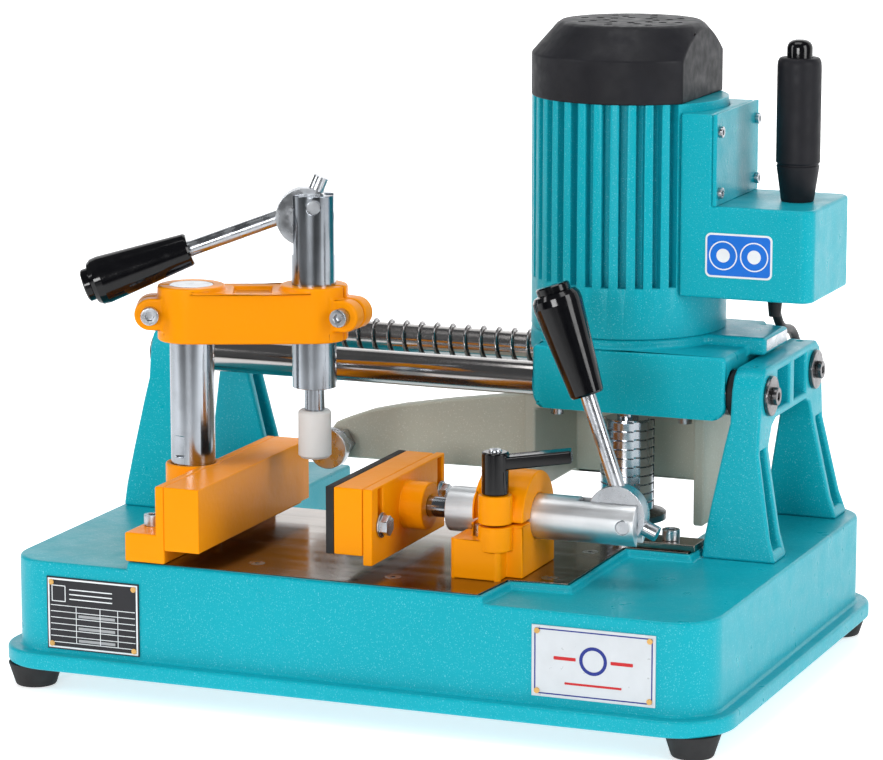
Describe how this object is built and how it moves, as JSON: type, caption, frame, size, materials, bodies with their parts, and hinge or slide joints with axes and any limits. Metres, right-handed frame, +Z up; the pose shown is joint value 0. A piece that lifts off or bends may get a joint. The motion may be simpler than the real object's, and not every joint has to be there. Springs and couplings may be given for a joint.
{
  "type": "bench end milling machine",
  "caption": "Bench end-milling machine: a vertical motor carriage on two guide bars behind a steel table with fence, stop and two cam-lever clamps.",
  "frame": {"origin": "on the bench under the middle of the base flange", "axes": "+X right along the guide bars, +Y back, +Z up along the spindle"},
  "size_m": [0.55, 0.5125, 0.469],
  "materials": {
    "teal_paint": "speckled powder coat, semi-gloss",
    "orange_paint": "smooth powder coat, semi-gloss",
    "guard_paint": "speckled cream-grey powder coat",
    "polished_steel": "ground and polished",
    "plate_steel": "ground, mirror-like",
    "dark_steel": "oiled black oxide",
    "zinc_steel": "bright zinc plated",
    "spring_steel": "drawn wire",
    "cutter_steel": "ground tool steel",
    "black_gloss": "glossy moulded",
    "black_matte": "fine-grained moulded",
    "cord_black": "smooth sheath",
    "black_rubber": "dull",
    "white_nylon": "turned nylon",
    "brass_rivet": "domed",
    "label_black": "printed plate",
    "label_white": "printed plate",
    "copper_winding": "enamelled",
    "bearing_steel": "ground"
  },
  "bodies": {
    "base": {"base_casting": "teal_paint", "work_table": "plate_steel", "table_bar": "plate_steel", "table_screws": "zinc_steel", "cap_screws": "zinc_steel", "rubber_feet": "black_rubber", "rating_plate": "label_black", "name_plate": "label_white", "plate_rivets": "brass_rivet", "left_bracket": "teal_paint", "right_bracket": "teal_paint", "guide_bars": "polished_steel", "bar_washers": "dark_steel", "bar_screws": "dark_steel", "bumpers": "black_rubber", "return_spring": "spring_steel", "fence_bracket": "orange_paint", "fence": "orange_paint", "clamp_post": "polished_steel", "horizontal_block": "orange_paint"},
    "swivel_arm": {"clamp_arm": "orange_paint", "arm_screws": "zinc_steel"},
    "vertical_clamp": {"vertical_tube": "polished_steel"},
    "vertical_lever": {"vertical_cam": "zinc_steel", "vertical_grip": "black_gloss"},
    "vertical_ram": {"vertical_plunger": "polished_steel", "vertical_pad": "white_nylon"},
    "lock_lever": {"clamping_lever": "black_gloss"},
    "horizontal_clamp": {"horizontal_tube": "polished_steel"},
    "horizontal_lever": {"horizontal_cam": "zinc_steel", "horizontal_grip": "black_gloss"},
    "horizontal_ram": {"horizontal_plunger": "polished_steel", "pad_plate": "orange_paint"},
    "pad": {"pad_bolts": "zinc_steel", "pad_block": "orange_paint", "pad_rubber": "black_rubber"},
    "carriage": {"carriage_casting": "teal_paint", "linear_bushes": "dark_steel", "motor_housing": "teal_paint", "fan_cover": "black_matte", "stator": "copper_winding", "motor_bearings": "bearing_steel", "cutter_guard": "guard_paint", "switch_box": "teal_paint", "box_cover": "teal_paint", "carriage_screws": "zinc_steel", "handle_grip": "black_matte", "switch_module": "dark_steel", "cord_gland": "cord_black", "mains_cord": "cord_black", "cord_coil": "cord_black", "mains_plug": "cord_black"},
    "spindle": {"rotor_core": "dark_steel", "motor_shaft": "polished_steel", "cooling_fan": "black_matte", "cutter": "cutter_steel", "cutter_flange": "dark_steel"},
    "stop": {"end_stop": "zinc_steel"},
    "button": {"start_button": "black_gloss"}
  },
  "joints": [
    {"name": "carriage_slide", "type": "slide", "parent": "base", "child": "carriage", "axis": [-1, 0, 0], "range_m": [0, 0.23], "stiffness_N_per_m": 60, "springref_m": -0.15, "deforming": ["return_spring"]},
    {"name": "spindle_spin", "type": "hinge", "parent": "carriage", "child": "spindle", "pos_m": [0.11, 0.085, 0.15], "axis": [0, 0, 1], "continuous": true},
    {"name": "button_press", "type": "slide", "parent": "carriage", "child": "button", "axis": [0, 0, -1], "range_m": [0, 0.004], "stiffness_N_per_m": 500},
    {"name": "stop_adjust", "type": "slide", "parent": "carriage", "child": "stop", "axis": [0, -1, 0], "range_m": [0, 0.012]},
    {"name": "arm_swivel", "type": "hinge", "parent": "base", "child": "swivel_arm", "pos_m": [-0.156, -0.1055, 0.267], "axis": [0, 0, 1], "range_deg": [-25, 35]},
    {"name": "vertical_height", "type": "slide", "parent": "swivel_arm", "child": "vertical_clamp", "axis": [0, 0, 1], "range_m": [0, 0.015]},
    {"name": "vertical_lever_turn", "type": "hinge", "parent": "vertical_clamp", "child": "vertical_lever", "pos_m": [-0.075, -0.07112, 0.344], "axis": [-0.3907, 0.9205, 0], "range_deg": [0, 90]},
    {"name": "vertical_ram_slide", "type": "slide", "parent": "vertical_clamp", "child": "vertical_ram", "axis": [0, 0, 1], "range_m": [0, 0.0145]},
    {"name": "lock_lever_turn", "type": "hinge", "parent": "base", "child": "lock_lever", "pos_m": [0.092, -0.141, 0.17], "axis": [0, 0, 1], "range_deg": [-40, 60]},
    {"name": "horizontal_depth", "type": "slide", "parent": "base", "child": "horizontal_clamp", "axis": [1, 0, 0], "range_m": [-0.015, 0.015]},
    {"name": "horizontal_lever_turn", "type": "hinge", "parent": "horizontal_clamp", "child": "horizontal_lever", "pos_m": [0.178, -0.1055, 0.1395], "axis": [0, 1, 0], "range_deg": [0, 90]},
    {"name": "horizontal_ram_slide", "type": "slide", "parent": "horizontal_clamp", "child": "horizontal_ram", "axis": [1, 0, 0], "range_m": [0, 0.0145]},
    {"name": "pad_height", "type": "slide", "parent": "horizontal_ram", "child": "pad", "axis": [0, 0, 1], "range_m": [0, 0.018]}
  ],
  "couplings": [
    {"joint": "vertical_ram_slide", "follows": "vertical_lever_turn", "m_per_rad": 0.0089},
    {"joint": "horizontal_ram_slide", "follows": "horizontal_lever_turn", "m_per_rad": 0.0089}
  ]
}
